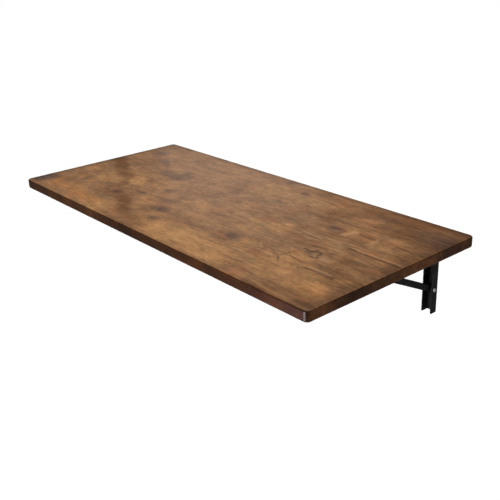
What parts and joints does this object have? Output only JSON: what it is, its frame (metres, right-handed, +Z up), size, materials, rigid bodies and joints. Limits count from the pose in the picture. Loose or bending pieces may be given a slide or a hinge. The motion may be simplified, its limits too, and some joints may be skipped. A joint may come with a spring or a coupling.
{
  "type": "wall mounted folding workbench",
  "caption": "Rectangular stained wood worktop hinged on folding steel wall brackets, with sliding braces and sprung locks, that folds down flat against the wall.",
  "frame": {"origin": "on the wall plane, in the middle of the bench's width, level with the fold axis", "axes": "+X along the wall to the right seen from the room, +Y into the wall, +Z up"},
  "size_m": [1.2, 0.543, 0.233],
  "materials": {
    "stained_wood": "dark brown stain, satin",
    "black_powder_coat": "fine satin powder coat",
    "zinc_plate": "bright zinc",
    "black_nylon": "matt",
    "spring_steel": "drawn wire"
  },
  "bodies": {
    "wall": {"wall_channel_left": "black_powder_coat", "hinge_pin_left": "zinc_plate", "brace_pin_left": "zinc_plate", "brace_spacer_left_l": "black_nylon", "brace_spacer_left_r": "black_nylon", "wall_channel_right": "black_powder_coat", "hinge_pin_right": "zinc_plate", "brace_pin_right": "zinc_plate", "brace_spacer_right_l": "black_nylon", "brace_spacer_right_r": "black_nylon"},
    "top": {"worktop": "stained_wood", "arm_left": "black_powder_coat", "yoke_pin_left": "zinc_plate", "yoke_spring_left": "spring_steel", "arm_screw_left_1": "zinc_plate", "arm_screw_left_2": "zinc_plate", "arm_screw_left_3": "zinc_plate", "arm_screw_left_4": "zinc_plate", "arm_right": "black_powder_coat", "yoke_pin_right": "zinc_plate", "yoke_spring_right": "spring_steel", "arm_screw_right_1": "zinc_plate", "arm_screw_right_2": "zinc_plate", "arm_screw_right_3": "zinc_plate", "arm_screw_right_4": "zinc_plate"},
    "brace_left": {"brace_left": "black_powder_coat", "brace_end_pin_left": "zinc_plate"},
    "slider_left": {"slide_stud_left_l": "zinc_plate", "slide_stud_left_r": "zinc_plate"},
    "yoke_left": {"lock_yoke_left": "black_powder_coat"},
    "brace_right": {"brace_right": "black_powder_coat", "brace_end_pin_right": "zinc_plate"},
    "slider_right": {"slide_stud_right_l": "zinc_plate", "slide_stud_right_r": "zinc_plate"},
    "yoke_right": {"lock_yoke_right": "black_powder_coat"}
  },
  "joints": [
    {"name": "top_fold", "type": "hinge", "parent": "wall", "child": "top", "pos_m": [0, -0.014, 0], "axis": [1, 0, 0], "range_deg": [0, 90]},
    {"name": "brace_swing_left", "type": "hinge", "parent": "wall", "child": "brace_left", "pos_m": [-0.492, -0.014, -0.128], "axis": [1, 0, 0], "range_deg": [0, 116.85]},
    {"name": "pin_slide_left", "type": "slide", "parent": "top", "child": "slider_left", "axis": [0, -1, 0], "range_m": [0, 0.15855]},
    {"name": "yoke_press_left", "type": "hinge", "parent": "top", "child": "yoke_left", "pos_m": [-0.492, -0.44354, 0.001], "axis": [-1, 0, 0], "range_deg": [0, 3], "stiffness_Nm_per_rad": 3, "springref_deg": -5.73, "deforming": ["yoke_spring_left"]},
    {"name": "brace_swing_right", "type": "hinge", "parent": "wall", "child": "brace_right", "pos_m": [0.492, -0.014, -0.128], "axis": [1, 0, 0], "range_deg": [0, 116.85]},
    {"name": "pin_slide_right", "type": "slide", "parent": "top", "child": "slider_right", "axis": [0, -1, 0], "range_m": [0, 0.15855]},
    {"name": "yoke_press_right", "type": "hinge", "parent": "top", "child": "yoke_right", "pos_m": [0.492, -0.44354, 0.001], "axis": [-1, 0, 0], "range_deg": [0, 3], "stiffness_Nm_per_rad": 3, "springref_deg": -5.73, "deforming": ["yoke_spring_right"]}
  ],
  "couplings": [
    {"joint": "brace_swing_left", "follows": "top_fold", "ratio": 1.2982},
    {"joint": "pin_slide_left", "follows": "top_fold", "m_per_rad": 0.10093},
    {"joint": "brace_swing_right", "follows": "top_fold", "ratio": 1.2982},
    {"joint": "pin_slide_right", "follows": "top_fold", "m_per_rad": 0.10093}
  ]
}
